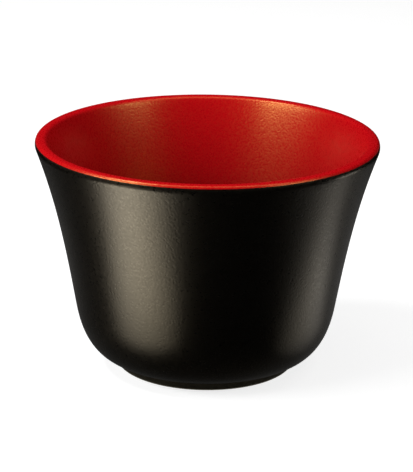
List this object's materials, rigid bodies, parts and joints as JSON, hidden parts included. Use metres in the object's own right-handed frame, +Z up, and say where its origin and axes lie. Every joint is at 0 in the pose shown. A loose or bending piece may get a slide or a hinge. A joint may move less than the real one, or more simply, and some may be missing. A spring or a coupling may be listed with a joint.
{
  "type": "tea cup",
  "caption": "Small flared tea cup without a handle: satin black shell, vermilion liner that closes over the lip, and a low foot ring to stand on.",
  "frame": {"origin": "centre of the plane that the foot ring stands on", "axes": "+Z up along the axis of the cup, towards its mouth; X and Y are alike, because the cup is round"},
  "size_m": [0.086, 0.086, 0.059],
  "materials": {
    "black_melamine": "satin black moulding with a fine even grain",
    "red_melamine": "satin vermilion moulding, a little glossier than the outside"
  },
  "bodies": {
    "root": {"outer_shell": "black_melamine", "inner_liner": "red_melamine", "foot_ring": "black_melamine"}
  },
  "joints": []
}
